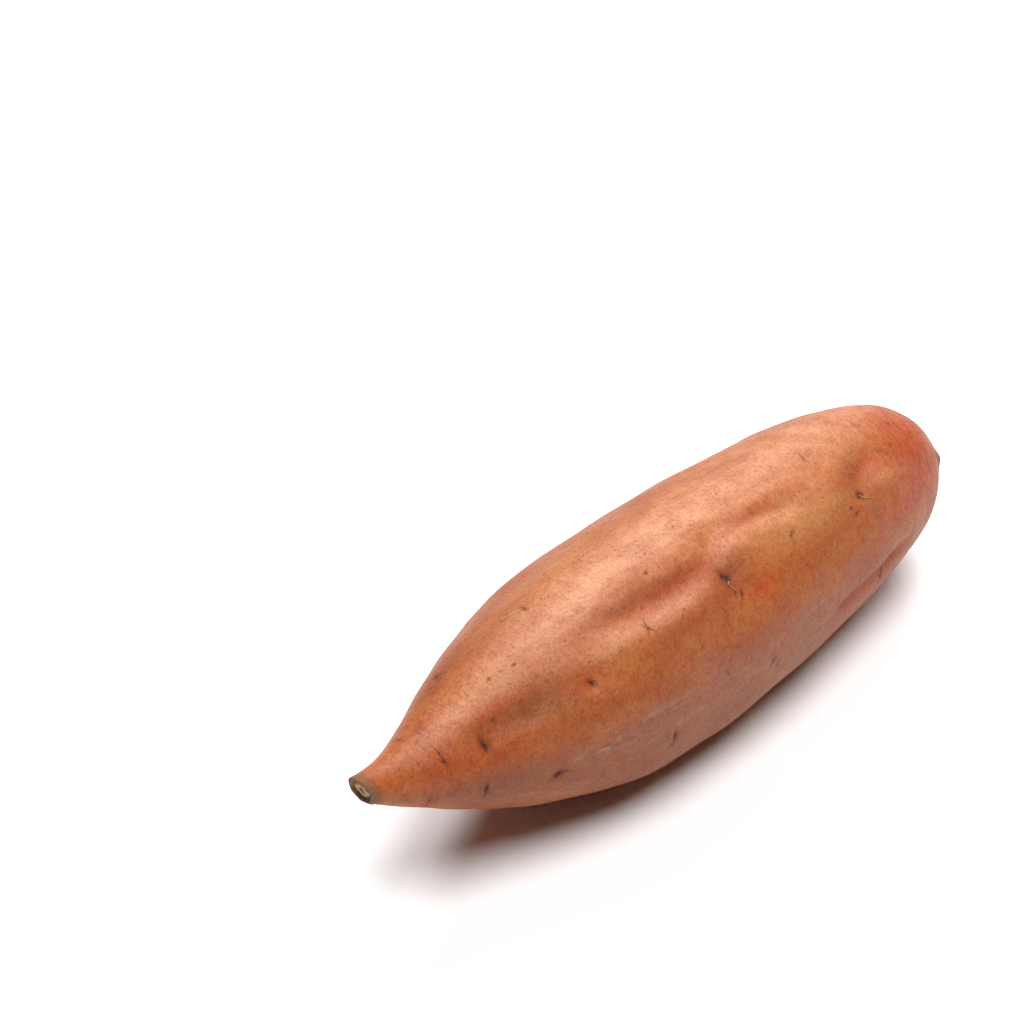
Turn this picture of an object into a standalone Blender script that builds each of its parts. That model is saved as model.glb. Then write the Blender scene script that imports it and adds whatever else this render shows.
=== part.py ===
"""Sweet potato: one solid root, lying on its belly.

+X runs along the root, from the cut stem at -X to the blunt root end at +X, and +Z is up.
The origin is in the middle of the root's bounding box, on the surface that it rests on.
"""
import math

import bmesh
import bpy
from mathutils import Matrix, Vector

MM = 0.001

# Driving dimensions, in metres.
LENGTH = 200.0 * MM
GIRTH_RADIUS = 28.3 * MM
REST_DEPTH = 0.9 * MM          # how much of the belly's curve is pressed flat where it rests
STEM_CUT_TILT = math.radians(15.0)   # the stem's cut end faces this far down from square
STEM_TILT_REACH = 0.06         # share of the length over which the rings turn square again
STEM_DISH = 0.5 * MM           # depth of the woody core below the bark rim
BARK_SHARE = 0.30              # bark's share of the stem's radius

# Mesh density.
RINGS = 46
SEGMENTS = 44
END_CROWDING = 1.5             # rings crowd towards the blunt end, where the dome closes

# Stations along the root: share of the length, share of the girth radius, and how far
# the middle of the section rides above the fattest section's middle.
STATIONS = (
    (0.00, 0.138, 12.9 * MM),
    (0.03, 0.182, 10.0 * MM),
    (0.08, 0.300, 7.5 * MM),
    (0.15, 0.520, 5.2 * MM),
    (0.25, 0.780, 3.0 * MM),
    (0.38, 0.970, 1.0 * MM),
    (0.50, 1.000, 0.0 * MM),
    (0.62, 0.966, -0.6 * MM),
    (0.74, 0.890, -1.0 * MM),
    (0.85, 0.775, -1.2 * MM),
    (0.93, 0.612, -1.5 * MM),
    (0.98, 0.350, -1.5 * MM),
    (1.00, 0.000, -1.4 * MM),
)

# Swellings and hollows of the flesh: share of the length, angle round the section in degrees
# (0 is +Y, 90 is up, 180 is -Y), reach along in shares of the length, reach round in degrees,
# and height.
SWELLINGS = (
    (0.20, 110.0, 0.10, 26.0, 0.3 * MM),
    (0.45, 104.0, 0.13, 22.0, 0.5 * MM),
    (0.62, 128.0, 0.09, 18.0, -0.8 * MM),
    (0.40, 150.0, 0.12, 20.0, 0.5 * MM),
    (0.78, 96.0, 0.10, 26.0, 0.6 * MM),
    (0.70, 165.0, 0.14, 26.0, 0.5 * MM),
    (0.30, 20.0, 0.14, 28.0, 0.6 * MM),
    (0.60, 350.0, 0.12, 30.0, -0.5 * MM),
    (0.82, 30.0, 0.10, 28.0, 0.6 * MM),
    (0.45, 235.0, 0.16, 24.0, 0.5 * MM),
)


def clear_objects():
    """Remove every object that the file opens with."""
    for item in list(bpy.data.objects):
        bpy.data.objects.remove(item, do_unlink=True)


def slopes(places, values):
    """Slopes of a monotone cubic through the stations, so that nothing overshoots."""
    steps = [b - a for a, b in zip(places, places[1:])]
    rises = [(b - a) / step for a, b, step in zip(values, values[1:], steps)]
    inner = []
    for before, after, left, right in zip(rises, rises[1:], steps, steps[1:]):
        if before * after <= 0.0:
            inner.append(0.0)
            continue
        heavy, light = 2.0 * right + left, right + 2.0 * left
        inner.append((heavy + light) / (heavy / before + light / after))
    return [rises[0]] + inner + [rises[-1]]


def along(places, values, share):
    """Value at a share of the length, on the monotone cubic through the stations."""
    grades = slopes(places, values)
    last = len(places) - 2
    index = min(max(i for i, place in enumerate(places) if place <= share), last)
    step = places[index + 1] - places[index]
    u = (share - places[index]) / step
    return (
        values[index] * (1.0 + 2.0 * u) * (1.0 - u) ** 2
        + grades[index] * step * u * (1.0 - u) ** 2
        + values[index + 1] * u * u * (3.0 - 2.0 * u)
        + grades[index + 1] * step * u * u * (u - 1.0)
    )


def section(share):
    """Radius of the section and rise of its middle, at a share of the length."""
    places = [station[0] for station in STATIONS]
    areas = [station[1] ** 2 for station in STATIONS]
    rises = [station[2] for station in STATIONS]
    radius = GIRTH_RADIUS * math.sqrt(max(along(places, areas, share), 0.0))
    return radius, along(places, rises, share)


def swelling(share, angle):
    """Height of the flesh above the round section, at a share of the length and an angle."""
    height = 0.0
    for place, turn, reach, spread, peak in SWELLINGS:
        away = (math.degrees(angle) - turn + 180.0) % 360.0 - 180.0
        height += peak * math.exp(-((share - place) / reach) ** 2 - (away / spread) ** 2)
    return height * min(1.0, 8.0 * share, 8.0 * (1.0 - share))


def ring_share(index):
    """Share of the length at which a ring stands."""
    return 1.0 - (1.0 - index / RINGS) ** END_CROWDING


def place_ring(ring, share):
    """Set one ring of vertices to the root's section at a share of the length."""
    radius, rise = section(share)
    lean = -STEM_CUT_TILT * max(0.0, 1.0 - share / STEM_TILT_REACH) ** 2
    turn = Matrix.Rotation(lean, 3, "Y")
    middle = Vector(((share - 0.5) * LENGTH, 0.0, rise))
    for index, vert in enumerate(ring):
        angle = 2.0 * math.pi * index / SEGMENTS
        reach = radius + swelling(share, angle)
        spoke = Vector((0.0, reach * math.cos(angle), reach * math.sin(angle)))
        vert.co = middle + turn @ spoke


def add_ring(mesh, ring):
    """Extrude a ring of vertices into the next one, and return it in the same order."""
    edges = [mesh.edges.get((a, b)) for a, b in zip(ring, ring[1:] + ring[:1])]
    grown = set(bmesh.ops.extrude_edge_only(mesh, edges=edges)["geom"])
    following = []
    for vert in ring:
        following.append(next(e.other_vert(vert) for e in vert.link_edges if e.other_vert(vert) in grown))
    return following


def close_stem(mesh, ring):
    """Close the stem with a bark rim round a slightly dished woody core."""
    face = mesh.faces.new(ring)
    bmesh.ops.recalc_face_normals(mesh, faces=mesh.faces)
    radius = section(0.0)[0]
    bmesh.ops.inset_region(mesh, faces=[face], thickness=radius * BARK_SHARE, use_even_offset=True)
    inward = Vector((math.cos(STEM_CUT_TILT), 0.0, math.sin(STEM_CUT_TILT)))
    bmesh.ops.translate(mesh, verts=face.verts, vec=inward * STEM_DISH)
    bmesh.ops.poke(mesh, faces=[face])


def close_root_end(mesh, ring):
    """Draw the last ring together into the tip of the blunt end."""
    bmesh.ops.pointmerge(mesh, verts=ring, merge_co=Vector((0.5 * LENGTH, 0.0, section(1.0)[1])))


def press_flat(mesh):
    """Press the belly flat where the root rests, and stand that flat on the surface z = 0."""
    lowest = min(vert.co.z for vert in mesh.verts)
    bmesh.ops.translate(mesh, verts=mesh.verts, vec=(0.0, 0.0, -lowest - REST_DEPTH))
    cut = bmesh.ops.bisect_plane(
        mesh,
        geom=mesh.verts[:] + mesh.edges[:] + mesh.faces[:],
        plane_co=(0.0, 0.0, 0.0),
        plane_no=(0.0, 0.0, -1.0),
        clear_outer=True,
    )
    rim = [item for item in cut["geom_cut"] if isinstance(item, bmesh.types.BMEdge)]
    bmesh.ops.edgeloop_fill(mesh, edges=rim)


def centre_footprint(mesh):
    """Put the middle of the bounding box over the origin."""
    for axis in (0, 1):
        low = min(vert.co[axis] for vert in mesh.verts)
        high = max(vert.co[axis] for vert in mesh.verts)
        shift = Vector((0.0, 0.0, 0.0))
        shift[axis] = -0.5 * (low + high)
        bmesh.ops.translate(mesh, verts=mesh.verts, vec=shift)


def skin_material():
    """Raw sweet-potato skin: dull orange-brown, softly waxy."""
    material = bpy.data.materials.new("sweet_potato_skin")
    material.use_nodes = True
    shader = material.node_tree.nodes["Principled BSDF"]
    shader.inputs["Base Color"].default_value = (0.50, 0.19, 0.08, 1.0)
    shader.inputs["Roughness"].default_value = 0.45
    shader.inputs["Metallic"].default_value = 0.0
    return material


def make_sweet_potato():
    """Model the whole root as one closed solid."""
    mesh = bmesh.new()
    circle = bmesh.ops.create_circle(mesh, cap_ends=False, segments=SEGMENTS, radius=GIRTH_RADIUS)
    first = list(circle["verts"])
    place_ring(first, 0.0)
    ring = first
    for index in range(1, RINGS + 1):
        ring = add_ring(mesh, ring)
        place_ring(ring, ring_share(index))
    close_root_end(mesh, ring)
    close_stem(mesh, first)
    press_flat(mesh)
    centre_footprint(mesh)
    bmesh.ops.recalc_face_normals(mesh, faces=mesh.faces)
    data = bpy.data.meshes.new("sweet_potato")
    mesh.to_mesh(data)
    mesh.free()
    data.shade_smooth()
    data.set_sharp_from_angle(angle=math.radians(40.0))
    data.materials.append(skin_material())
    root = bpy.data.objects.new("sweet_potato", data)
    bpy.context.scene.collection.objects.link(root)
    return root


clear_objects()
make_sweet_potato()
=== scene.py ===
"""Looks of a raw sweet potato lying on a pale studio floor.

The root lies along X: its cut stem is at -X, its blunt root end at +X, and +Z is up. A place on
its skin is given as a share of its length from the stem, and a turn round its section in degrees,
where 0 is +Y, 90 is straight up and 180 is -Y. Sizes of marks on the skin are in millimetres.
"""
import logging
import math
from dataclasses import dataclass
from enum import Enum

import bmesh
import bpy
import numpy as np
from mathutils import Matrix, Vector, noise


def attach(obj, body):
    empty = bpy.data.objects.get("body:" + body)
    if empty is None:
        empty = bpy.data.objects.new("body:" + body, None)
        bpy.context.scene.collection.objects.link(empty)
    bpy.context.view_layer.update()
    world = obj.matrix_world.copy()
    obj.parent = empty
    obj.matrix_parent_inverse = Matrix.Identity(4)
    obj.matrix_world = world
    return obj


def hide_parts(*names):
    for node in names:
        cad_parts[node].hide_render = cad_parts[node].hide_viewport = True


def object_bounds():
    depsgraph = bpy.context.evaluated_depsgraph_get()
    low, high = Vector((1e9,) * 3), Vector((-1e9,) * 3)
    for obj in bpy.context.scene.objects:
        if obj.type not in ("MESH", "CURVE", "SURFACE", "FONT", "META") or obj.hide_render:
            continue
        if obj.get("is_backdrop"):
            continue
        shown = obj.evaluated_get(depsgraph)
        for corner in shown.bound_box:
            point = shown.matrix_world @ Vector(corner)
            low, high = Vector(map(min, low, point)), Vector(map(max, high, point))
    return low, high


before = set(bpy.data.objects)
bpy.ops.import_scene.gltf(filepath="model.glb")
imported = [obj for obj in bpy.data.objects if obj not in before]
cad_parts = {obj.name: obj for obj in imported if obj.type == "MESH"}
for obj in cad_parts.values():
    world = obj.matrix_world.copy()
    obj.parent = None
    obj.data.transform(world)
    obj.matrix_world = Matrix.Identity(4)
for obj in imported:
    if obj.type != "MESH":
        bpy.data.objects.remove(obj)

LOG = logging.getLogger("sweet_potato")
MM = 0.001
NODE = "sweet_potato"
BODY = "root"


def linear(code: str, alpha: float = 1.0) -> tuple[float, float, float, float]:
    """Turn an sRGB hex colour into the linear colour that shaders take.

    Args:
        code: Six hex digits, with or without a leading hash.
        alpha: Opacity.

    Returns:
        Linear red, green and blue, and the opacity.
    """
    digits = code.lstrip("#")
    parts = [int(digits[i:i + 2], 16) / 255.0 for i in (0, 2, 4)]
    turned = [p / 12.92 if p <= 0.04045 else ((p + 0.055) / 1.055) ** 2.4 for p in parts]
    return (turned[0], turned[1], turned[2], alpha)


def add_node(tree: bpy.types.NodeTree, kind: str, links: dict | None = None, **settings) -> bpy.types.Node:
    """Add one shader node, give it its settings and wire its inputs.

    Args:
        tree: Node tree that takes the node.
        kind: Blender's type name, such as "ShaderNodeMix".
        links: Input name or index, with a value or the output socket that feeds it.
        **settings: Properties to set on the node itself.

    Returns:
        The new node.
    """
    node = tree.nodes.new(kind)
    for name, value in settings.items():
        setattr(node, name, value)
    for name, value in (links or {}).items():
        if isinstance(value, bpy.types.NodeSocket):
            tree.links.new(value, node.inputs[name])
        else:
            node.inputs[name].default_value = value
    return node


class Tone(Enum):
    """Tints laid on the skin in patches, each kept as an attribute of its own. The pale tone is partly paler skin and
    partly a painted highlight along the top and the ridge crests; the brown tone is painted shade in furrows,
    hollows, scar dents and on the underside.
    """

    FLUSH = "flush"
    BROWN = "brown"
    LILAC = "lilac"
    TAN = "tan"
    PALE_AND_PAINTED_HIGHLIGHT = "pale"
    RIPPLE = "ripple"
    BARK = "bark"


@dataclass(frozen=True)
class Station:
    """One section of the root: where it stands, how fat it is and how high it rides."""

    share: float
    girth: float
    rise_mm: float


@dataclass(frozen=True)
class Swelling:
    """A broad swelling or hollow of the flesh, heights in millimetres."""

    share: float
    turn: float
    reach: float
    spread: float
    height_mm: float


@dataclass(frozen=True)
class Fold:
    """A long ridge (positive height) or furrow (negative) that follows a path over the skin."""

    path: tuple[tuple[float, float], ...]
    width_mm: float
    height_mm: float


@dataclass(frozen=True)
class Scar:
    """A healed root scar or eye: a dark corky spot, with or without a pock of its own."""

    share: float
    turn: float
    long_mm: float
    wide_mm: float
    heading: float
    depth_mm: float = 0.0
    pock_mm: float = 2.0
    dark: float = 1.0


@dataclass(frozen=True)
class Rootlet:
    """A dried hair root that lies on the skin, from its foot through its bends to its end."""

    name: str
    path: tuple[tuple[float, float], ...]
    thick_mm: float
    lift_mm: float


@dataclass(frozen=True)
class Tint:
    """A soft patch of one tone on the skin."""

    tone: Tone
    share: float
    turn: float
    reach: float
    spread: float
    amount: float


STATIONS = (
    Station(0.00, 0.138, 12.9),
    Station(0.03, 0.182, 10.0),
    Station(0.08, 0.300, 7.5),
    Station(0.15, 0.520, 5.2),
    Station(0.25, 0.780, 3.0),
    Station(0.38, 0.970, 1.0),
    Station(0.50, 1.000, 0.0),
    Station(0.62, 0.966, -0.6),
    Station(0.74, 0.890, -1.0),
    Station(0.85, 0.775, -1.2),
    Station(0.93, 0.612, -1.5),
    Station(0.98, 0.350, -1.5),
    Station(1.00, 0.000, -1.4),
)

SWELLINGS = (
    Swelling(0.20, 110.0, 0.10, 26.0, 0.3),
    Swelling(0.45, 104.0, 0.13, 22.0, 0.5),
    Swelling(0.62, 128.0, 0.09, 18.0, -0.5),
    Swelling(0.41, 133.0, 0.07, 9.0, 1.0),
    Swelling(0.20, 133.0, 0.06, 14.0, -1.3),
    Swelling(0.275, 137.0, 0.03, 8.0, -0.5),
    Swelling(0.335, 125.0, 0.03, 7.0, 0.35),
    Swelling(0.40, 160.0, 0.12, 20.0, 0.5),
    Swelling(0.78, 96.0, 0.10, 26.0, 0.6),
    Swelling(0.70, 165.0, 0.14, 22.0, 0.7),
    Swelling(0.835, 135.0, 0.035, 9.0, 0.7),
    Swelling(0.30, 20.0, 0.14, 28.0, 0.6),
    Swelling(0.60, 350.0, 0.12, 30.0, -0.5),
    Swelling(0.82, 30.0, 0.10, 28.0, 0.6),
    Swelling(0.45, 235.0, 0.16, 24.0, 0.5),
)

FOLDS = (
    Fold(((0.31, 114.0), (0.37, 118.0), (0.42, 119.5), (0.47, 119.5), (0.51, 116.5), (0.54, 110.0)), 3.8, -1.75),
    Fold(((0.53, 107.5), (0.56, 107.0), (0.60, 110.5), (0.64, 116.0), (0.69, 122.0)), 2.7, -0.95),
    Fold(((0.53, 117.5), (0.58, 120.0), (0.64, 126.0)), 3.8, 0.65),
    Fold(((0.84, 117.0), (0.80, 122.0), (0.77, 132.0)), 3.6, -1.45),
    Fold(((0.66, 186.0), (0.72, 184.0), (0.78, 185.0), (0.84, 181.0)), 1.9, -1.3),
    Fold(((0.060, 120.0), (0.058, 138.0), (0.060, 156.0)), 0.8, -0.25),
    Fold(((0.092, 122.0), (0.091, 132.0), (0.089, 142.0)), 0.7, -0.35),
    Fold(((0.066, 190.0), (0.067, 203.0), (0.066, 216.0)), 0.8, -0.3),
    Fold(((0.20, 60.0), (0.35, 57.0), (0.50, 61.0)), 5.0, -0.3),
    Fold(((0.55, 205.0), (0.40, 212.0), (0.25, 209.0)), 5.0, 0.3),
    Fold(((0.30, 345.0), (0.45, 338.0), (0.62, 342.0)), 3.0, -0.7),
    Fold(((0.60, 18.0), (0.72, 12.0), (0.84, 16.0)), 2.6, -0.6),
)

# Lumps of the flesh that follow no pattern: size along X, Y and Z and height in millimetres, and seed.
LUMPS = (
    ((26.0, 12.0, 12.0), 0.50, 5.0),
    ((10.0, 6.0, 6.0), 0.22, 17.0),
    ((4.5, 3.0, 3.0), 0.07, 37.0),
)

SCARS = (
    Scar(0.513, 130.5, 1.1, 0.85, 25.0, 1.1, 4.4, 0.95),
    Scar(0.510, 127.8, 0.9, 0.5, 80.0),
    Scar(0.508, 134.0, 0.9, 0.35, 70.0, 0.15, 1.6, 0.9),
    Scar(0.511, 137.5, 0.7, 0.3, 65.0, 0.0, 1.0, 0.8),
    Scar(0.516, 141.0, 0.8, 0.3, 60.0, 0.15, 1.4, 0.85),
    Scar(0.374, 128.6, 1.1, 0.18, 62.0, 0.0, 1.0, 0.8),
    Scar(0.3755, 129.4, 1.0, 0.2, 118.0, 0.3, 2.2, 0.85),
    Scar(0.280, 137.5, 0.9, 0.4, 118.0, 0.6, 2.8, 0.9),
    Scar(0.141, 142.0, 1.4, 0.55, 96.0, 0.9, 3.0, 0.95),
    Scar(0.163, 125.0, 0.45, 0.3, 20.0, 0.1, 1.0, 0.8),
    Scar(0.165, 127.4, 0.35, 0.25, 0.0, 0.0, 1.0, 0.7),
    Scar(0.0905, 127.0, 0.8, 0.2, 92.0, 0.15, 1.0, 0.75),
    Scar(0.0900, 137.0, 0.9, 0.3, 84.0, 0.25, 1.4, 0.85),
    Scar(0.066, 203.0, 1.6, 0.25, 92.0, 0.1, 1.0, 0.8),
    Scar(0.131, 190.0, 1.5, 0.4, 94.0, 0.35, 1.8),
    Scar(0.130, 198.0, 0.9, 0.28, 88.0, 0.1, 1.0, 0.8),
    Scar(0.214, 188.0, 1.2, 0.7, 30.0, 0.35, 2.6),
    Scar(0.222, 186.8, 0.5, 0.35, 0.0, 0.0, 1.0, 0.8),
    Scar(0.228, 187.2, 0.35, 0.25, 0.0, 0.0, 1.0, 0.7),
    Scar(0.270, 200.5, 1.0, 0.3, 70.0, 0.1, 1.0, 0.7),
    Scar(0.371, 190.0, 1.5, 0.45, 92.0, 0.35, 2.2, 0.9),
    Scar(0.368, 194.0, 0.8, 0.3, 80.0, 0.0, 1.0, 0.8),
    Scar(0.541, 181.5, 1.0, 0.35, 40.0, 0.2, 1.8, 0.8),
    Scar(0.548, 185.5, 0.8, 0.3, 60.0, 0.0, 1.0, 0.75),
    Scar(0.770, 135.0, 0.8, 0.6, 10.0, 0.45, 2.8),
    Scar(0.745, 141.5, 0.5, 0.3, 20.0, 0.1, 1.2, 0.8),
    Scar(0.741, 137.8, 0.4, 0.28, 0.0, 0.0, 1.0, 0.75),
    Scar(0.740, 99.0, 1.1, 0.2, 80.0, 0.0, 1.0, 0.6),
    Scar(0.736, 101.5, 0.4, 0.2, 30.0, 0.0, 1.0, 0.6),
    Scar(0.635, 131.0, 0.9, 0.35, 40.0, 0.1, 1.2, 0.65),
    Scar(0.631, 134.5, 0.5, 0.25, 20.0, 0.0, 1.0, 0.6),
    Scar(0.459, 169.5, 1.4, 0.16, 118.0, 0.0, 1.0, 0.7),
    Scar(0.427, 107.5, 0.4, 0.25, 0.0, 0.0, 1.0, 0.75),
    Scar(0.296, 78.0, 0.8, 0.35, 90.0, 0.15, 1.4, 0.75),
    Scar(0.222, 102.5, 0.45, 0.3, 0.0, 0.0, 1.0, 0.75),
    Scar(0.190, 98.0, 0.4, 0.3, 0.0, 0.0, 1.0, 0.7),
    Scar(0.172, 55.0, 1.3, 0.5, 60.0, 0.2, 2.0, 0.75),
    Scar(0.080, 64.0, 1.0, 0.3, 92.0, 0.1, 1.2, 0.75),
    Scar(0.775, 191.0, 2.4, 0.3, 62.0, 0.35, 1.6, 0.9),
    Scar(0.800, 183.5, 2.2, 0.35, 10.0, 0.45, 1.6, 0.95),
    Scar(0.870, 121.0, 0.5, 0.3, 30.0, 0.1, 1.0, 0.75),
    Scar(0.905, 106.0, 0.45, 0.3, 80.0, 0.1, 1.0, 0.75),
    Scar(0.968, 160.0, 2.2, 1.3, 70.0, -0.6, 3.0),
    Scar(0.320, 20.0, 1.5, 0.8, 80.0, 0.5, 3.2),
    Scar(0.326, 26.0, 0.7, 0.3, 70.0, 0.0, 1.0, 0.85),
    Scar(0.550, 32.0, 1.3, 0.6, 100.0, 0.4, 2.8),
    Scar(0.680, 8.0, 1.8, 0.5, 95.0, 0.4, 3.0),
    Scar(0.674, 13.0, 0.6, 0.3, 60.0, 0.0, 1.0, 0.8),
    Scar(0.240, 348.0, 1.4, 0.4, 100.0, 0.3, 2.4, 0.9),
    Scar(0.440, 352.0, 1.1, 0.7, 20.0, 0.4, 2.8, 0.9),
    Scar(0.820, 340.0, 1.5, 0.6, 90.0, 0.4, 2.6),
    Scar(0.380, 318.0, 1.3, 0.4, 85.0, 0.3, 2.2, 0.8),
    Scar(0.630, 305.0, 1.6, 0.6, 95.0, 0.4, 2.6, 0.9),
    Scar(0.200, 245.0, 1.5, 0.45, 90.0, 0.3, 2.2, 0.85),
    Scar(0.470, 232.0, 1.2, 0.5, 60.0, 0.3, 2.2, 0.8),
    Scar(0.760, 238.0, 1.6, 0.5, 95.0, 0.3, 2.4, 0.85),
    Scar(0.120, 330.0, 1.8, 0.35, 92.0, 0.3, 1.8, 0.9),
    Scar(0.880, 55.0, 1.0, 0.4, 80.0, 0.2, 1.8, 0.8),
)

ROOTLETS = (
    Rootlet("hair_root_by_blunt_end", ((0.770, 135.4), (0.773, 137.5), (0.779, 139.6), (0.786, 140.4)), 0.26, 0.12),
    Rootlet("hair_root_by_stem", ((0.268, 70.0), (0.276, 72.6), (0.285, 74.6), (0.294, 77.2)), 0.5, 0.05),
    Rootlet("hair_root_by_large_scar", ((0.514, 131.6), (0.510, 134.2), (0.5125, 137.4), (0.517, 141.6)), 0.22, 0.05),
)

TINTS = (
    Tint(Tone.FLUSH, 0.915, 125.0, 0.055, 36.0, 0.85),
    Tint(Tone.FLUSH, 0.86, 155.0, 0.06, 12.0, 0.6),
    Tint(Tone.FLUSH, 0.555, 144.0, 0.03, 6.0, 0.8),
    Tint(Tone.FLUSH, 0.46, 118.5, 0.07, 5.0, 0.8),
    Tint(Tone.FLUSH, 0.60, 111.0, 0.06, 4.0, 0.6),
    Tint(Tone.FLUSH, 0.27, 137.0, 0.03, 7.0, 0.6),
    Tint(Tone.FLUSH, 0.17, 118.0, 0.035, 5.0, 0.5),
    Tint(Tone.FLUSH, 0.80, 123.0, 0.04, 6.0, 0.5),
    Tint(Tone.FLUSH, 0.73, 188.0, 0.07, 8.0, 0.7),
    Tint(Tone.FLUSH, 0.10, 150.0, 0.08, 26.0, 0.5),
    Tint(Tone.FLUSH, 0.93, 20.0, 0.05, 40.0, 0.7),
    Tint(Tone.FLUSH, 0.40, 330.0, 0.14, 20.0, 0.4),
    # Painted shade in brown: these lie in the furrows, the hollow near the stem, the big scar's dent and on the
    # underside.
    Tint(Tone.BROWN, 0.20, 132.0, 0.045, 10.0, 0.50),
    Tint(Tone.BROWN, 0.455, 118.5, 0.045, 4.5, 0.45),
    Tint(Tone.BROWN, 0.36, 114.0, 0.05, 3.5, 0.30),
    Tint(Tone.BROWN, 0.60, 111.0, 0.04, 3.5, 0.30),
    Tint(Tone.BROWN, 0.79, 123.0, 0.03, 5.0, 0.30),
    Tint(Tone.BROWN, 0.50, 205.0, 0.40, 24.0, 0.30),
    Tint(Tone.BROWN, 0.18, 57.0, 0.06, 9.0, 0.30),
    Tint(Tone.BROWN, 0.24, 141.0, 0.03, 6.0, 0.25),
    Tint(Tone.BROWN, 0.513, 128.0, 0.03, 8.0, 0.4),
    Tint(Tone.BROWN, 0.14, 185.0, 0.06, 20.0, 0.4),
    Tint(Tone.LILAC, 0.33, 182.0, 0.24, 15.0, 0.50),
    Tint(Tone.LILAC, 0.66, 183.0, 0.18, 14.0, 0.45),
    Tint(Tone.LILAC, 0.28, 178.0, 0.045, 2.2, 1.0),
    Tint(Tone.LILAC, 0.34, 171.0, 0.04, 4.0, 0.7),
    Tint(Tone.LILAC, 0.44, 160.0, 0.04, 6.0, 0.35),
    Tint(Tone.LILAC, 0.62, 172.0, 0.05, 6.0, 0.30),
    Tint(Tone.LILAC, 0.35, 190.0, 0.02, 3.0, 0.6),
    Tint(Tone.LILAC, 0.465, 175.0, 0.02, 3.0, 0.6),
    Tint(Tone.LILAC, 0.778, 146.0, 0.012, 5.0, 0.9),
    Tint(Tone.LILAC, 0.415, 118.0, 0.012, 2.5, 0.6),
    Tint(Tone.LILAC, 0.50, 260.0, 0.30, 26.0, 0.5),
    # Partly paler skin and partly a painted highlight: the first four lie along the top where the strip light's sheen
    # runs, the rest on ridge crests.
    Tint(Tone.PALE_AND_PAINTED_HIGHLIGHT, 0.34, 92.0, 0.17, 20.0, 0.62),
    Tint(Tone.PALE_AND_PAINTED_HIGHLIGHT, 0.55, 90.0, 0.12, 20.0, 0.60),
    Tint(Tone.PALE_AND_PAINTED_HIGHLIGHT, 0.77, 88.0, 0.13, 24.0, 0.72),
    Tint(Tone.PALE_AND_PAINTED_HIGHLIGHT, 0.89, 78.0, 0.04, 16.0, 0.40),
    Tint(Tone.PALE_AND_PAINTED_HIGHLIGHT, 0.56, 118.0, 0.05, 5.0, 0.60),
    Tint(Tone.PALE_AND_PAINTED_HIGHLIGHT, 0.66, 122.0, 0.06, 7.0, 0.45),
    Tint(Tone.PALE_AND_PAINTED_HIGHLIGHT, 0.32, 125.0, 0.05, 6.0, 0.45),
    Tint(Tone.PALE_AND_PAINTED_HIGHLIGHT, 0.42, 129.0, 0.06, 4.5, 0.45),
    Tint(Tone.PALE_AND_PAINTED_HIGHLIGHT, 0.83, 135.0, 0.03, 6.0, 0.40),
    Tint(Tone.PALE_AND_PAINTED_HIGHLIGHT, 0.12, 100.0, 0.05, 12.0, 0.35),
    Tint(Tone.TAN, 0.36, 66.0, 0.12, 10.0, 0.5),
    Tint(Tone.TAN, 0.70, 132.0, 0.07, 9.0, 0.75),
    Tint(Tone.TAN, 0.62, 126.0, 0.06, 6.0, 0.5),
    Tint(Tone.TAN, 0.19, 104.0, 0.025, 7.0, 0.7),
    Tint(Tone.TAN, 0.84, 170.0, 0.05, 7.0, 0.3),
    Tint(Tone.TAN, 0.55, 20.0, 0.12, 16.0, 0.5),
    Tint(Tone.RIPPLE, 0.91, 115.0, 0.075, 55.0, 1.0),
    Tint(Tone.RIPPLE, 0.10, 120.0, 0.08, 80.0, 0.5),
    Tint(Tone.RIPPLE, 0.94, 300.0, 0.06, 60.0, 0.6),
)


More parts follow.
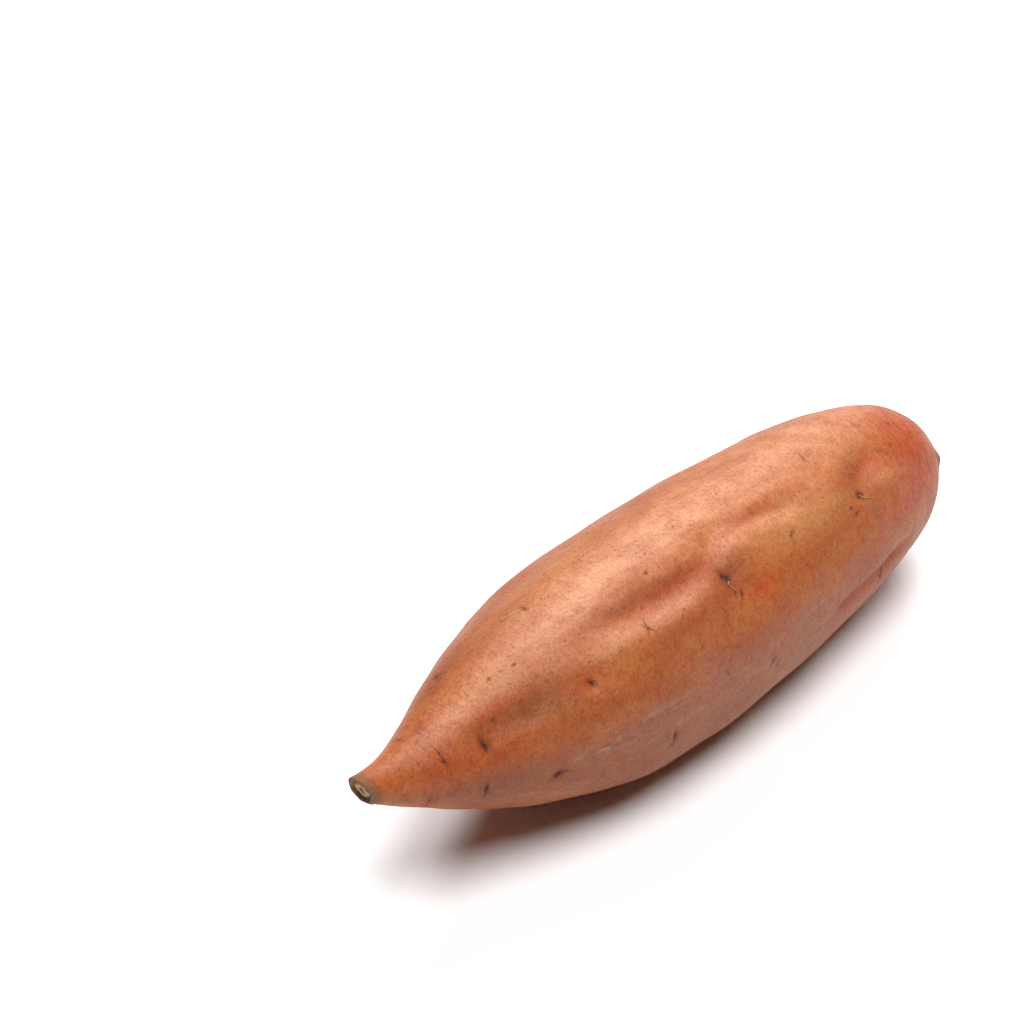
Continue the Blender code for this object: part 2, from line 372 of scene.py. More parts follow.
@dataclass
class RootShape:
    """The plain form of the root, before its skin gets any mark."""

    length: float = 200.0 * MM
    girth_radius: float = 28.3 * MM
    rest_depth: float = 0.9 * MM
    cut_tilt: float = math.radians(15.0)
    tilt_reach: float = 0.06

    def __post_init__(self) -> None:
        """Work out the slopes of the curves through the stations."""
        self.places = np.array([s.share for s in STATIONS])
        self.areas = np.array([(s.girth * self.girth_radius) ** 2 for s in STATIONS])
        self.rises = np.array([s.rise_mm * MM for s in STATIONS])
        self.area_slopes = self._slopes(self.areas)
        self.rise_slopes = self._slopes(self.rises)

    def _slopes(self, values: np.ndarray) -> np.ndarray:
        """Slopes of a monotone cubic through the stations.

        Args:
            values: One value for each station.

        Returns:
            One slope for each station, in value per share of the length.
        """
        steps = np.diff(self.places)
        rises = np.diff(values) / steps
        heavy, light = 2.0 * steps[1:] + steps[:-1], steps[1:] + 2.0 * steps[:-1]
        agree = rises[:-1] * rises[1:] > 0.0
        safe_left = np.where(agree, rises[:-1], 1.0)
        safe_right = np.where(agree, rises[1:], 1.0)
        inner = np.where(agree, (heavy + light) / (heavy / safe_left + light / safe_right), 0.0)
        return np.concatenate([rises[:1], inner, rises[-1:]])

    def _along(self, values: np.ndarray, grades: np.ndarray, share: np.ndarray) -> np.ndarray:
        """Read a curve through the stations.

        Args:
            values: One value for each station.
            grades: The curve's slope at each station.
            share: Shares of the length to read it at.

        Returns:
            The curve's value at each share.
        """
        share = np.clip(np.asarray(share, dtype=float), 0.0, 1.0)
        index = np.clip(np.searchsorted(self.places, share, side="right") - 1, 0, len(self.places) - 2)
        step = self.places[index + 1] - self.places[index]
        u = (share - self.places[index]) / step
        return (
            values[index] * (1.0 + 2.0 * u) * (1.0 - u) ** 2
            + grades[index] * step * u * (1.0 - u) ** 2
            + values[index + 1] * u * u * (3.0 - 2.0 * u)
            + grades[index + 1] * step * u * u * (u - 1.0)
        )

    def radius(self, share: np.ndarray) -> np.ndarray:
        """Return the section's radius, in metres, at shares of the length."""
        return np.sqrt(np.maximum(self._along(self.areas, self.area_slopes, share), 0.0))

    def rise(self, share: np.ndarray) -> np.ndarray:
        """Return how far the section's middle rides above the fattest one's, in metres."""
        return self._along(self.rises, self.rise_slopes, share)

    def lean(self, share: float) -> float:
        """Return how far a ring near the stem leans with the cut, in radians."""
        return self.cut_tilt * max(0.0, 1.0 - share / self.tilt_reach) ** 2


@dataclass
class Skin:
    """Places on the skin of a meshed root, and the fields of relief and tint over it."""

    shape: RootShape
    points: np.ndarray
    middle: Vector
    axis_height: float

    def __post_init__(self) -> None:
        """Find each vertex's share of the length, turn and local radius."""
        self.share = np.clip((self.points[:, 0] - self.middle.x) / self.shape.length + 0.5, 0.0, 1.0)
        across = self.points[:, 1] - self.middle.y
        above = self.points[:, 2] - self.axis_height - self.shape.rise(self.share)
        self.turn = np.degrees(np.arctan2(above, across)) % 360.0
        self.local_radius = np.maximum(self.shape.radius(self.share), 2.0 * MM) / MM

    def offsets(self, share: float, turn: float) -> tuple[np.ndarray, np.ndarray]:
        """Return millimetres along and round the skin from a place to every vertex."""
        along = (self.share - share) * self.shape.length / MM
        round_by = np.radians((self.turn - turn + 180.0) % 360.0 - 180.0) * self.local_radius
        return along, round_by

    def swelling(self, item: Swelling) -> np.ndarray:
        """Return one swelling's height at every vertex, in millimetres."""
        away = (self.turn - item.turn + 180.0) % 360.0 - 180.0
        return item.height_mm * np.exp(-((self.share - item.share) / item.reach) ** 2 - (away / item.spread) ** 2)

    def tint(self, item: Tint) -> np.ndarray:
        """Return one tint's strength at every vertex."""
        away = (self.turn - item.turn + 180.0) % 360.0 - 180.0
        return item.amount * np.exp(-((self.share - item.share) / item.reach) ** 2 - (away / item.spread) ** 2)

    def fold(self, item: Fold) -> np.ndarray:
        """Return one ridge's or furrow's height at every vertex, in millimetres.

        Args:
            item: The fold, whose ends fade out along its path.

        Returns:
            Heights, positive outwards.
        """
        best = np.full(len(self.share), np.inf)
        fade = np.zeros(len(self.share))
        runs = len(item.path) - 1
        for index, (start, end) in enumerate(zip(item.path, item.path[1:])):
            along, round_by = self.offsets(*start)
            run_along = (end[0] - start[0]) * self.shape.length / MM
            run_round = math.radians(end[1] - start[1]) * self.local_radius
            square = run_along ** 2 + run_round ** 2
            part = np.clip((along * run_along + round_by * run_round) / square, 0.0, 1.0)
            gap = np.hypot(along - part * run_along, round_by - part * run_round)
            nearer = gap < best
            best = np.where(nearer, gap, best)
            fade = np.where(nearer, (index + part) / runs, fade)
        strength = np.clip(6.0 * fade, 0.0, 1.0) * np.clip(6.0 * (1.0 - fade), 0.0, 1.0)
        return item.height_mm * (0.35 + 0.65 * strength) * np.exp(-(best / item.width_mm) ** 2)

    def on_surface(self, root: bpy.types.Object, share: float, turn: float) -> tuple[Vector, Vector]:
        """Return the finished skin's point and outward direction nearest to a place."""
        nearest = int(np.argmin(np.hypot(*self.offsets(share, turn))))
        vertex = root.data.vertices[nearest]
        return vertex.co.copy(), vertex.normal.copy()

    def scar_distance(self, item: Scar) -> np.ndarray:
        """Return how far each vertex is from a scar's middle, in units of the scar's size."""
        along, round_by = self.offsets(item.share, item.turn)
        angle = math.radians(item.heading)
        lengthwise = along * math.cos(angle) + round_by * math.sin(angle)
        crosswise = round_by * math.cos(angle) - along * math.sin(angle)
        return np.hypot(lengthwise / item.long_mm, crosswise / item.wide_mm)


def grain(points: np.ndarray, scale_mm: tuple[float, float, float], seed: float) -> np.ndarray:
    """Return smooth noise at every point.

    Args:
        points: Places, in metres.
        scale_mm: Size of the noise's lumps along X, Y and Z.
        seed: Offset that keeps one field apart from another.

    Returns:
        Values between about -1 and 1.
    """
    scaled = points / (np.array(scale_mm) * MM) + seed
    return np.array([noise.noise(Vector(place)) for place in scaled])


@dataclass(frozen=True)
class Spot:
    """A scar as it lies on the finished skin: its middle, and axes along, across and out of it."""

    scar: Scar
    middle: Vector
    axes: Matrix


@dataclass(frozen=True)
class SkinFinish:
    """Raw sweet-potato skin: paper-thin cork over orange flesh, washed, with a waxy satin sheen.

    It shows the eye a warm orange-brown that clouds towards red and lilac, fine crosswise grain,
    dark pores and root scars, and a soft highlight broken up by the grain. Part of that highlight is
    painted into the colour as paler skin along the top and the ridge crests, and painted shade
    darkens the furrows, hollows and underside with brown.
    """

    name: str = "sweet_potato_periderm"
    amber: str = "#ae6634"
    copper: str = "#9a5024"
    flush: str = "#b04519"
    # Painted shade colour, laid in the furrows, hollows and on the underside.
    brown: str = "#6a3a1e"
    lilac: str = "#8a5540"
    bloom: str = "#c39579"
    tan: str = "#b98350"
    # Paler skin, also used as a painted highlight along the top and the ridge crests.
    pale: str = "#db9f79"
    pore: str = "#6e3218"
    scar: str = "#4a2312"
    halo: str = "#7a3516"
    bark: str = "#774829"
    cloud_mm: tuple[float, float, float] = (26.0, 12.0, 12.0)
    patch_mm: tuple[float, float, float] = (9.0, 5.0, 5.0)
    mottle_mm: tuple[float, float, float] = (1.9, 2.3, 2.3)
    streak_mm: tuple[float, float, float] = (16.0, 1.7, 1.7)
    grain_mm: tuple[float, float, float] = (0.55, 0.75, 0.75)
    ripple_mm: tuple[float, float, float] = (0.85, 4.5, 4.5)
    pore_gap_mm: float = 2.1
    crust_mm: float = 0.55
    scar_reach: float = 3.0      # a scar's browned edge goes this many times as far as its core
    roughness: float = 0.50
    specular: float = 0.36

    def make(self, spots: list[Spot]) -> bpy.types.Material:
        """Build the skin's material.

        Args:
            spots: Where the scars lie.

        Returns:
            The material, which reads Object coordinates and the skin's own attributes.
        """
        skin = bpy.data.materials.new(self.name)
        skin.use_nodes = True
        tree = skin.node_tree
        tree.nodes.clear()
        place = add_node(tree, "ShaderNodeTexCoord").outputs["Object"]
        noises = self._noises(tree, place)
        colour = self._ground(tree, noises)
        colour = self._tints(tree, noises, colour)
        colour, pores = self._grain(tree, noises, place, colour)
        colour, crust = self._scars(tree, noises, place, colour, spots)
        height = self._height(tree, noises, pores, crust)
        bump = add_node(tree, "ShaderNodeBump", {"Height": height, "Strength": 0.8, "Distance": 1.0 * MM})
        satin = add_node(tree, "ShaderNodeMapRange", {
            "Value": noises["grain"], "From Min": 0.25, "From Max": 0.75,
            "To Min": self.roughness - 0.05, "To Max": self.roughness + 0.07,
        }).outputs["Result"]
        dull = add_node(tree, "ShaderNodeMath", {0: crust, 1: 0.3, 2: satin}, operation="MULTIPLY_ADD")
        shader = add_node(tree, "ShaderNodeBsdfPrincipled", {
            "Base Color": colour,
            "Roughness": dull.outputs[0],
            "IOR": 1.45,
            "Specular IOR Level": self.specular,
            "Normal": bump.outputs["Normal"],
        })
        add_node(tree, "ShaderNodeOutputMaterial", {"Surface": shader.outputs["BSDF"]})
        return skin

    def _noises(self, tree: bpy.types.NodeTree, place: bpy.types.NodeSocket) -> dict[str, bpy.types.NodeSocket]:
        """Make the noises that the skin's pattern is mixed from, each at its own real size.

        Args:
            tree: The skin's node tree.
            place: Object coordinates.

        Returns:
            The noises by name, each between 0 and 1.
        """
        sizes = {
            "clouds": self.cloud_mm, "patches": self.patch_mm, "mottle": self.mottle_mm, "streaks": self.streak_mm,
            "grain": self.grain_mm, "ripples": self.ripple_mm, "crust": (self.crust_mm,) * 3,
        }
        noises = {}
        for index, (name, size_mm) in enumerate(sizes.items()):
            spread = add_node(tree, "ShaderNodeMapping", {
                "Vector": place,
                "Scale": tuple(1.0 / (size * MM) for size in size_mm),
                "Location": (13.0 * index + 3.0,) * 3,
            })
            noise_node = add_node(tree, "ShaderNodeTexNoise", {
                "Vector": spread.outputs["Vector"], "Scale": 1.0, "Detail": 3.0, "Roughness": 0.55,
            })
            noises[name] = noise_node.outputs["Fac"]
            if name == "crust":
                noises["wander"] = noise_node.outputs["Color"]
        return noises

    def _ground(self, tree: bpy.types.NodeTree, noises: dict) -> bpy.types.NodeSocket:
        """Cloud amber and copper into each other, and fleck them with red.

        Args:
            tree: The skin's node tree.
            noises: The skin's noises.

        Returns:
            The ground colour.
        """
        clouds = add_node(tree, "ShaderNodeMapRange", {"Value": noises["clouds"], "From Min": 0.36, "From Max": 0.64})
        ground = add_node(tree, "ShaderNodeMix", {
            0: clouds.outputs["Result"], 6: linear(self.copper), 7: linear(self.amber),
        }, data_type="RGBA")
        flecks = add_node(tree, "ShaderNodeMapRange", {
            "Value": noises["mottle"], "From Min": 0.42, "From Max": 0.72, "To Max": 0.40,
        })
        flecked = add_node(tree, "ShaderNodeMix", {
            0: flecks.outputs["Result"], 6: ground.outputs[2], 7: linear(self.flush),
        }, data_type="RGBA")
        return flecked.outputs[2]

    def _tints(self, tree: bpy.types.NodeTree, noises: dict, colour: bpy.types.NodeSocket) -> bpy.types.NodeSocket:
        """Lay the broad tints over the ground, each broken up by one of the noises.

        Args:
            tree: The skin's node tree.
            noises: The skin's noises.
            colour: The ground colour.

        Returns:
            The tinted colour.
        """
        layers = (
            # Paler skin and painted highlight along the top and the ridge crests.
            (Tone.PALE_AND_PAINTED_HIGHLIGHT, self.pale, "patches", (0.34, 0.66), (0.55, 1.0)),
            (Tone.TAN, self.tan, "mottle", (0.30, 0.66), (0.25, 1.0)),
            (Tone.LILAC, self.lilac, "streaks", (0.30, 0.65), (0.50, 1.0)),
            (Tone.LILAC, self.bloom, "streaks", (0.48, 0.74), (0.0, 0.60)),
            (Tone.FLUSH, self.flush, "mottle", (0.25, 0.60), (0.55, 1.0)),
            # Painted shade in the furrows, hollows and underside.
            (Tone.BROWN, self.brown, "clouds", (0.30, 0.60), (0.70, 1.0)),
            (Tone.BARK, self.bark, "crust", (0.30, 0.70), (0.55, 1.0)),
        )
        for tone, code, pattern, (low, high), (least, most) in layers:
            field = add_node(tree, "ShaderNodeAttribute", attribute_name=tone.value)
            broken = add_node(tree, "ShaderNodeMapRange", {
                "Value": noises[pattern], "From Min": low, "From Max": high, "To Min": least, "To Max": most,
            }, interpolation_type="SMOOTHSTEP")
            amount = add_node(tree, "ShaderNodeMath", {
                0: field.outputs["Fac"], 1: broken.outputs["Result"],
            }, operation="MULTIPLY")
            colour = add_node(tree, "ShaderNodeMix", {
                0: amount.outputs[0], 6: colour, 7: linear(code),
            }, data_type="RGBA").outputs[2]
        return colour

    def _grain(
        self, tree: bpy.types.NodeTree, noises: dict, place: bpy.types.NodeSocket, colour: bpy.types.NodeSocket,
    ) -> tuple[bpy.types.NodeSocket, bpy.types.NodeSocket]:
        """Add the cork's fine grain, the ripples of the blunt end and the pores.

        Args:
            tree: The skin's node tree.
            noises: The skin's noises.
            place: Object coordinates.
            colour: The tinted colour.

        Returns:
            The grained colour, and how much of a pore each place is.
        """
        rippled = add_node(tree, "ShaderNodeAttribute", attribute_name=Tone.RIPPLE.value)
        shades = (
            (noises["grain"], (0.42, 0.66), (0.0, 0.55), None),
            (noises["mottle"], (0.42, 0.72), (0.0, 0.40), None),
            (noises["streaks"], (0.45, 0.75), (0.0, 0.25), None),
            (noises["ripples"], (0.50, 0.62), (0.0, 0.75), rippled.outputs["Fac"]),
        )
        for pattern, (low, high), (least, most), where in shades:
            amount = add_node(tree, "ShaderNodeMapRange", {
                "Value": pattern, "From Min": low, "From Max": high, "To Min": least, "To Max": most,
            }, interpolation_type="SMOOTHSTEP").outputs["Result"]
            if where is not None:
                amount = add_node(tree, "ShaderNodeMath", {0: amount, 1: where}, operation="MULTIPLY").outputs[0]
            colour = add_node(tree, "ShaderNodeMix", {
                0: amount, 6: colour, 7: (0.66, 0.52, 0.44, 1.0),
            }, data_type="RGBA", blend_type="MULTIPLY").outputs[2]
        cells = add_node(tree, "ShaderNodeTexVoronoi", {
            "Vector": place, "Scale": 1.0 / (self.pore_gap_mm * MM), "Randomness": 1.0,
        })
        dots = add_node(tree, "ShaderNodeMapRange", {
            "Value": cells.outputs["Distance"], "From Min": 0.09, "From Max": 0.19, "To Min": 0.8, "To Max": 0.0,
        }, interpolation_type="SMOOTHSTEP")
        pores = add_node(tree, "ShaderNodeMath", {
            0: dots.outputs["Result"], 1: cells.outputs["Color"],
        }, operation="MULTIPLY").outputs[0]
        pored = add_node(tree, "ShaderNodeMix", {0: pores, 6: colour, 7: linear(self.pore)}, data_type="RGBA")
        return pored.outputs[2], pores

    def _scars(
        self, tree: bpy.types.NodeTree, noises: dict, place: bpy.types.NodeSocket,
        colour: bpy.types.NodeSocket, spots: list[Spot],
    ) -> tuple[bpy.types.NodeSocket, bpy.types.NodeSocket]:
        """Draw each root scar where it lies: a ragged corky core in a browned edge.

        Args:
            tree: The skin's node tree.
            noises: The skin's noises.
            place: Object coordinates.
            colour: The skin's colour so far.
            spots: Where the scars lie.

        Returns:
            The colour with the scars, and how much of a core each place is.
        """
        centred = add_node(tree, "ShaderNodeVectorMath", {
            0: noises["wander"], 1: (0.5, 0.5, 0.5),
        }, operation="SUBTRACT")
        pulled = add_node(tree, "ShaderNodeVectorMath", {
            0: centred.outputs[0], 1: (1.5 * MM,) * 3, 2: place,
        }, operation="MULTIPLY_ADD").outputs[0]
        nearness = None
        for spot in spots:
            core_mm = (spot.scar.long_mm, spot.scar.wide_mm, spot.scar.long_mm)
            local = add_node(tree, "ShaderNodeMapping", {
                "Vector": pulled,
                "Location": spot.middle,
                "Rotation": spot.axes.to_euler(),
                "Scale": tuple(self.scar_reach * size * MM for size in core_mm),
            }, vector_type="TEXTURE")
            ball = add_node(tree, "ShaderNodeTexGradient", {"Vector": local.outputs["Vector"]}, gradient_type="SPHERICAL")
            here = add_node(tree, "ShaderNodeMath", {0: ball.outputs["Fac"], 1: spot.scar.dark}, operation="MULTIPLY")
            if nearness is None:
                nearness = here.outputs[0]
            else:
                nearness = add_node(tree, "ShaderNodeMath", {0: nearness, 1: here.outputs[0]}, operation="MAXIMUM").outputs[0]
        browned = add_node(tree, "ShaderNodeMapRange", {
            "Value": nearness, "From Min": 0.05, "From Max": 0.60, "To Max": 0.85,
        }, interpolation_type="SMOOTHSTEP")
        colour = add_node(tree, "ShaderNodeMix", {
            0: browned.outputs["Result"], 6: colour, 7: linear(self.halo),
        }, data_type="RGBA").outputs[2]
        core = add_node(tree, "ShaderNodeMapRange", {
            "Value": nearness, "From Min": 0.52, "From Max": 0.82, "To Max": 0.9,
        }, interpolation_type="SMOOTHSTEP").outputs["Result"]
        scarred = add_node(tree, "ShaderNodeMix", {0: core, 6: colour, 7: linear(self.scar)}, data_type="RGBA")
        return scarred.outputs[2], core

    def _height(
        self, tree: bpy.types.NodeTree, noises: dict, pores: bpy.types.NodeSocket, crust: bpy.types.NodeSocket,
    ) -> bpy.types.NodeSocket:
        """Add up the relief that is too fine to model, in millimetres.

        Args:
            tree: The skin's node tree.
            noises: The skin's noises.
            pores: How much of a pore each place is.
            crust: How much of a scar's core each place is.

        Returns:
            The height for the bump.
        """
        rippled = add_node(tree, "ShaderNodeAttribute", attribute_name=Tone.RIPPLE.value)
        ridges = add_node(tree, "ShaderNodeMath", {
            0: rippled.outputs["Fac"], 1: noises["ripples"],
        }, operation="MULTIPLY")
        flakes = add_node(tree, "ShaderNodeMath", {0: crust, 1: noises["crust"]}, operation="MULTIPLY")
        height = add_node(tree, "ShaderNodeMath", {0: noises["grain"], 1: 0.16}, operation="MULTIPLY").outputs[0]
        for part, weight in (
            (noises["mottle"], 0.20), (ridges.outputs[0], 0.40), (pores, -0.12), (flakes.outputs[0], 0.5),
        ):
            height = add_node(tree, "ShaderNodeMath", {0: part, 1: weight, 2: height}, operation="MULTIPLY_ADD").outputs[0]
        return height


@dataclass(frozen=True)
class StemWoodFinish:
    """Dried cut end of the vine: brown bark, a pale woody ring and a dark pith."""

    name: str = "dried_vine_wood"
    pith: str = "#54382a"
    ring: str = "#b58e66"
    wood: str = "#8f6845"
    groove: str = "#5c3f2a"
    bark: str = "#7b4e30"
    fibre_mm: float = 0.8
    roughness: float = 0.75

    def make(self) -> bpy.types.Material:
        """Build the cut end's material, whose rings follow the attribute "cut"."""
        wood = bpy.data.materials.new(self.name)
        wood.use_nodes = True
        tree = wood.node_tree
        tree.nodes.clear()
        place = add_node(tree, "ShaderNodeTexCoord").outputs["Object"]
        rings = add_node(tree, "ShaderNodeAttribute", attribute_name="cut")
        fibres = add_node(tree, "ShaderNodeTexNoise", {
            "Vector": place, "Scale": 1.0 / (self.fibre_mm * MM), "Detail": 4.0,
        })
        wander = add_node(tree, "ShaderNodeMath", {0: fibres.outputs["Fac"], 1: 0.5}, operation="SUBTRACT")
        radius = add_node(tree, "ShaderNodeMath", {
            0: wander.outputs[0], 1: 0.3, 2: rings.outputs["Fac"],
        }, operation="MULTIPLY_ADD")
        ramp = add_node(tree, "ShaderNodeValToRGB", {"Fac": radius.outputs[0]})
        stops = (
            (0.0, self.pith), (0.08, self.pith), (0.16, self.wood), (0.30, self.ring), (0.46, self.ring),
            (0.56, self.groove), (0.64, self.groove), (0.76, self.bark), (1.0, self.bark),
        )
        elements = ramp.color_ramp.elements
        while len(elements) < len(stops):
            elements.new(0.5)
        for element, (spot, code) in zip(elements, stops):
            element.position = spot
            element.color = linear(code)
        bump = add_node(tree, "ShaderNodeBump", {
            "Height": fibres.outputs["Fac"], "Strength": 0.8, "Distance": 0.5 * MM,
        })
        shader = add_node(tree, "ShaderNodeBsdfPrincipled", {
            "Base Color": ramp.outputs["Color"], "Roughness": self.roughness, "Normal": bump.outputs["Normal"],
        })
        add_node(tree, "ShaderNodeOutputMaterial", {"Surface": shader.outputs["BSDF"]})
        return wood


@dataclass(frozen=True)
class HairFinish:
    """Dried hair root: a straw-coloured fibre, darker in patches, with no shine."""

    name: str = "dried_root_fibre"
    straw: str = "#c9a77c"
    dark: str = "#8a6444"
    patch_mm: float = 1.4
    roughness: float = 0.8

    def make(self) -> bpy.types.Material:
        """Build the fibre's material."""
        fibre = bpy.data.materials.new(self.name)
        fibre.use_nodes = True
        tree = fibre.node_tree
        tree.nodes.clear()
        place = add_node(tree, "ShaderNodeTexCoord").outputs["Object"]
        patches = add_node(tree, "ShaderNodeTexNoise", {
            "Vector": place, "Scale": 1.0 / (self.patch_mm * MM), "Detail": 2.0,
        })
        colour = add_node(tree, "ShaderNodeMix", {
            0: patches.outputs["Fac"], 6: linear(self.straw), 7: linear(self.dark),
        }, data_type="RGBA")
        shader = add_node(tree, "ShaderNodeBsdfPrincipled", {
            "Base Color": colour.outputs[2], "Roughness": self.roughness,
        })
        add_node(tree, "ShaderNodeOutputMaterial", {"Surface": shader.outputs["BSDF"]})
        return fibre


@dataclass(frozen=True)
class FloorFinish:
    """Matt white paper sweep: it only has to stay pale and take a soft shadow."""

    name: str = "white_paper_sweep"
    white: str = "#f6f6f7"
    roughness: float = 0.9

    def make(self) -> bpy.types.Material:
        """Build the floor's material."""
        paper = bpy.data.materials.new(self.name)
        paper.use_nodes = True
        shader = paper.node_tree.nodes["Principled BSDF"]
        shader.inputs["Base Color"].default_value = linear(self.white)
        shader.inputs["Roughness"].default_value = self.roughness
        shader.inputs["Specular IOR Level"].default_value = 0.1
        return paper


@dataclass
class SweetPotato:
    """The whole root: its cage, its relief, its tints, its finish and its dried hair roots."""

    shape: RootShape
    segments: int = 32
    rings: int = 38
    end_crowding: float = 1.5
    subdivisions: int = 3
    rounding_gain: float = 1.0065
    # Rings of the cut stem: share of the stem's radius, and depth into the stem in millimetres.
    cut_rings: tuple[tuple[float, float], ...] = (
        (0.98, -0.45), (0.87, -0.75), (0.73, -0.45), (0.62, 0.30), (0.50, 0.05), (0.32, 0.0), (0.14, 0.40),
    )
    # The woody core sits off the stem's middle, in shares of its radius towards +Y and +Z.
    core_shift: tuple[float, float] = (0.14, -0.16)
    bark_reach: float = 0.011
    bark_roughness_mm: float = 0.35
    hair_sides: int = 8
    hair_steps: int = 24

    def build(self, low: Vector, high: Vector) -> list[bpy.types.Object]:
        """Model and dress the root inside the frame's box.

        Args:
            low: Lowest corner of the box.
            high: Highest corner of the box.

        Returns:
            The finished root, then its hair roots.
        """
        root = self._mesh()
        self._settle(root, low, high)
        skin = self._carve(root)
        root.data.materials.append(SkinFinish().make(self._spots(root, skin)))
        root.data.materials.append(StemWoodFinish().make())
        fibre = HairFinish().make()
        return [root] + [self._rootlet(root, skin, item, fibre) for item in ROOTLETS]

    def _place_ring(self, ring: list, share: float, scale: float = 1.0, depth: float = 0.0) -> None:
        """Set a ring of vertices on the root's section.

        Args:
            ring: The ring's vertices, in order.
            share: Share of the length at which it stands.
            scale: Share of the section's radius that it keeps.
            depth: How far it is pushed in along the stem.
        """
        lean = Matrix.Rotation(-self.shape.lean(share), 3, "Y")
        radius = float(self.shape.radius(share)) * self.rounding_gain
        middle = Vector(((share - 0.5) * self.shape.length, 0.0, float(self.shape.rise(share))))
        aside = Vector((0.0, *self.core_shift)) * radius * (1.0 - scale)
        for index, vert in enumerate(ring):
            angle = 2.0 * math.pi * index / self.segments
            spoke = Vector((depth, radius * scale * math.cos(angle), radius * scale * math.sin(angle)))
            vert.co = middle + lean @ (spoke + aside)

    def _grow(self, mesh: bmesh.types.BMesh, ring: list) -> list:
        """Extrude a ring and return the new one in the same order."""
        edges = [mesh.edges.get((a, b)) for a, b in zip(ring, ring[1:] + ring[:1])]
        grown = set(bmesh.ops.extrude_edge_only(mesh, edges=edges)["geom"])
        return [next(e.other_vert(v) for e in v.link_edges if e.other_vert(v) in grown) for v in ring]

    def _mesh(self) -> bpy.types.Object:
        """Build the cage and round it off.

        Returns:
            A closed root about its own middle, with the cut end in the second material slot.
        """
        mesh = bmesh.new()
        cut = mesh.verts.layers.float.new("cut")
        circle = bmesh.ops.create_circle(
            mesh, cap_ends=False, segments=self.segments, radius=self.shape.girth_radius,
        )
        first = list(circle["verts"])
        self._place_ring(first, 0.0)
        ring = first
        for index in range(1, self.rings + 1):
            ring = self._grow(mesh, ring)
            share = 1.0 - (1.0 - index / self.rings) ** self.end_crowding
            self._place_ring(ring, share)
        tip = Vector((0.5 * self.shape.length, 0.0, float(self.shape.rise(1.0))))
        bmesh.ops.pointmerge(mesh, verts=ring, merge_co=tip)
        for vert in mesh.verts:
            vert[cut] = 1.0
        skin_faces = set(mesh.faces)
        ring = first
        for scale, depth_mm in self.cut_rings:
            ring = self._grow(mesh, ring)
            self._place_ring(ring, 0.0, scale, depth_mm * MM)
            for vert in ring:
                vert[cut] = scale
        for vert in ring:
            vert[cut] = 0.0
        centre = sum((v.co for v in ring), Vector()) / len(ring)
        bmesh.ops.pointmerge(mesh, verts=ring, merge_co=centre)
        for face in mesh.faces:
            face.smooth = True
            face.material_index = 0 if face in skin_faces else 1
        bmesh.ops.recalc_face_normals(mesh, faces=mesh.faces)
        cage = place_mesh(mesh, "sweet_potato_cage")
        smooth = cage.modifiers.new("round_off", "SUBSURF")
        smooth.levels = self.subdivisions
        smooth.render_levels = self.subdivisions
        graph = bpy.context.evaluated_depsgraph_get()
        rounded = bpy.data.meshes.new_from_object(cage.evaluated_get(graph))
        bpy.data.objects.remove(cage, do_unlink=True)
        rounded.name = "sweet_potato_skin"
        root = bpy.data.objects.new("sweet_potato_root", rounded)
        bpy.context.scene.collection.objects.link(root)
        return root

    def _settle(self, root: bpy.types.Object, low: Vector, high: Vector) -> None:
        """Move the mesh into the frame's box, with its belly pressed onto the floor."""
        points = read_points(root.data)
        shift_x = 0.5 * (low.x + high.x) - 0.5 * (points[:, 0].min() + points[:, 0].max())
        sink = low.z - points[:, 2].min() - self.shape.rest_depth
        points += np.array([shift_x, 0.5 * (low.y + high.y), sink])
        self.axis_height = sink
        self.middle = Vector((shift_x, 0.5 * (low.y + high.y), low.z))
        write_points(root.data, points)

    def _carve(self, root: bpy.types.Object) -> Skin:
        """Press relief into the skin and store the tints.

        Args:
            root: The rounded root.

        Returns:
            The skin's places, share and turn, for whatever lies on it.
        """
        data = root.data
        points = read_points(data)
        normals = read_normals(data)
        skin = Skin(self.shape, points, self.middle, self.axis_height)
        ends = np.clip(8.0 * skin.share, 0.0, 1.0) * np.clip(12.0 * (1.0 - skin.share), 0.0, 1.0)
        height = sum(skin.swelling(item) for item in SWELLINGS)
        height = height + sum(skin.fold(item) for item in FOLDS)
        for lump_mm, lump_height, seed in LUMPS:
            height = height + lump_height * grain(points, lump_mm, seed)
        height = height * ends
        ragged = grain(points, (1.6, 1.6, 1.6), 29.0)
        for item in SCARS:
            away = skin.scar_distance(item)
            pock = item.pock_mm / max(item.long_mm, item.wide_mm)
            height = height - item.depth_mm * np.exp(-(away / pock) ** 2)
            height = height - 0.35 * item.depth_mm * np.exp(-(away / 0.8) ** 2) * (1.0 + 0.5 * ragged)
        rim = np.clip(1.0 - skin.share / self.bark_reach, 0.0, 1.0)
        height = height + self.bark_roughness_mm * ragged * rim
        points = points + normals * (height * MM)[:, None]
        points[:, 2] = np.maximum(points[:, 2], self.middle.z)
        write_points(data, points)
        fields = {tone: np.zeros(len(points)) for tone in Tone}
        for item in TINTS:
            fields[item.tone] += skin.tint(item)
        fields[Tone.BARK] = rim * (1.0 + 0.4 * ragged)
        for tone, values in fields.items():
            store(data, tone.value, np.clip(values, 0.0, 1.0))
        return skin

